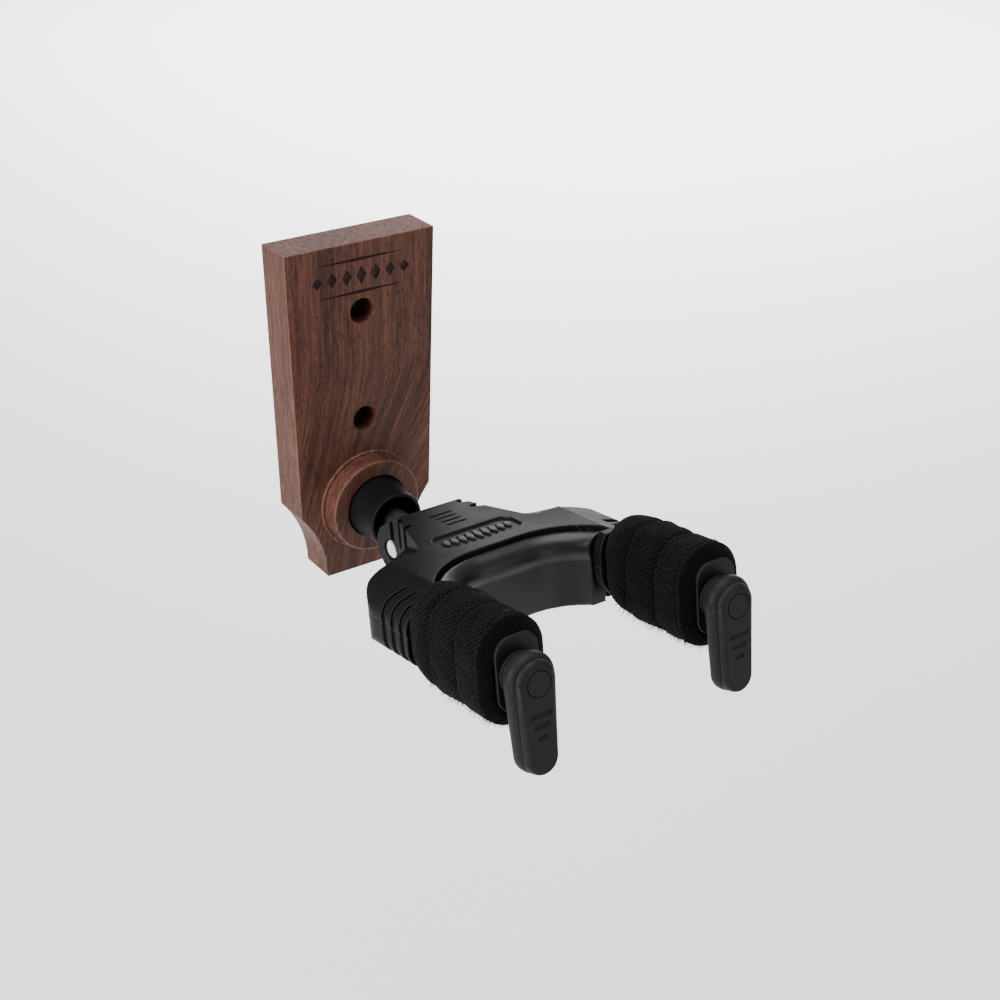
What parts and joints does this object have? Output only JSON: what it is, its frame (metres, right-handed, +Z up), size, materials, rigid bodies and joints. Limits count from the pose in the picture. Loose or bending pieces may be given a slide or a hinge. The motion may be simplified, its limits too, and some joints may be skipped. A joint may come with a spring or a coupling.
{
  "type": "wall guitar hanger",
  "caption": "Wooden wall plate with a swivelling sprung yoke that holds a guitar by its headstock between padded arms and locks it with swinging end gates.",
  "frame": {"origin": "on the plate's back face, midway between the two wall-screw holes", "axes": "+X to the right seen from the room, +Y into the wall, +Z up"},
  "size_m": [0.128, 0.2289, 0.163],
  "materials": {
    "stained_wood": "satin oil over dark red-brown hardwood",
    "plated_steel": "zinc plated",
    "dark_metal": "cast, black coated",
    "black_plastic": "moulded, fine satin texture",
    "liner_plastic": "moulded, smooth satin",
    "gate_plastic": "moulded, satin",
    "bearing_plastic": "black acetal",
    "bright_pin": "bright plated, dull end face",
    "foam": "closed-cell foam",
    "knit_fabric": "brushed knit"
  },
  "bodies": {
    "wall_plate": {"backplate": "stained_wood", "swivel_bush": "plated_steel"},
    "neck": {"swivel_washer": "plated_steel", "friction_washer": "plated_steel", "lock_nut": "plated_steel", "neck_post": "dark_metal", "neck_sleeve": "black_plastic", "drive_bar": "dark_metal", "drive_screws": "plated_steel"},
    "yoke": {"upper_shell": "black_plastic", "lower_shell": "black_plastic", "cradle_liner": "liner_plastic", "shell_screws": "plated_steel", "pivot_pin": "bright_pin", "pivot_bushes": "plated_steel", "return_springs": "plated_steel", "arm_tube_left": "black_plastic", "arm_tube_right": "black_plastic", "rear_bush_left": "bearing_plastic", "rear_bush_right": "bearing_plastic", "front_bush_left": "bearing_plastic", "front_bush_right": "bearing_plastic", "end_plate_left": "black_plastic", "end_plate_right": "black_plastic", "pad_foam_left": "foam", "pad_foam_right": "foam", "pad_sleeve_left": "knit_fabric", "pad_sleeve_right": "knit_fabric"},
    "gate_left": {"gate_shaft_left": "plated_steel", "gate_crank_left": "dark_metal", "gate_body_left": "gate_plastic", "gate_cover_left": "gate_plastic", "gate_screw_left": "plated_steel", "gate_cap_left": "gate_plastic"},
    "gate_right": {"gate_shaft_right": "plated_steel", "gate_crank_right": "dark_metal", "gate_body_right": "gate_plastic", "gate_cover_right": "gate_plastic", "gate_screw_right": "plated_steel", "gate_cap_right": "gate_plastic"}
  },
  "joints": [
    {"name": "neck_swivel", "type": "hinge", "parent": "wall_plate", "child": "neck", "pos_m": [0, 0, -0.068], "axis": [0, -1, 0], "range_deg": [-45, 45]},
    {"name": "yoke_tilt", "type": "hinge", "parent": "neck", "child": "yoke", "pos_m": [0, -0.068, -0.068], "axis": [1, 0, 0], "range_deg": [0, 9], "stiffness_Nm_per_rad": 1, "springref_deg": -25.78, "deforming": ["return_springs"]},
    {"name": "gate_left_turn", "type": "hinge", "parent": "yoke", "child": "gate_left", "pos_m": [-0.0483, -0.06734, -0.06385], "axis": [0, -0.9877, 0.1564], "range_deg": [0, 90]},
    {"name": "gate_right_turn", "type": "hinge", "parent": "yoke", "child": "gate_right", "pos_m": [0.0483, -0.06734, -0.06385], "axis": [0, 0.9877, -0.1564], "range_deg": [0, 90]}
  ],
  "couplings": [
    {"joint": "gate_left_turn", "follows": "yoke_tilt", "ratio": 10},
    {"joint": "gate_right_turn", "follows": "yoke_tilt", "ratio": 10}
  ]
}
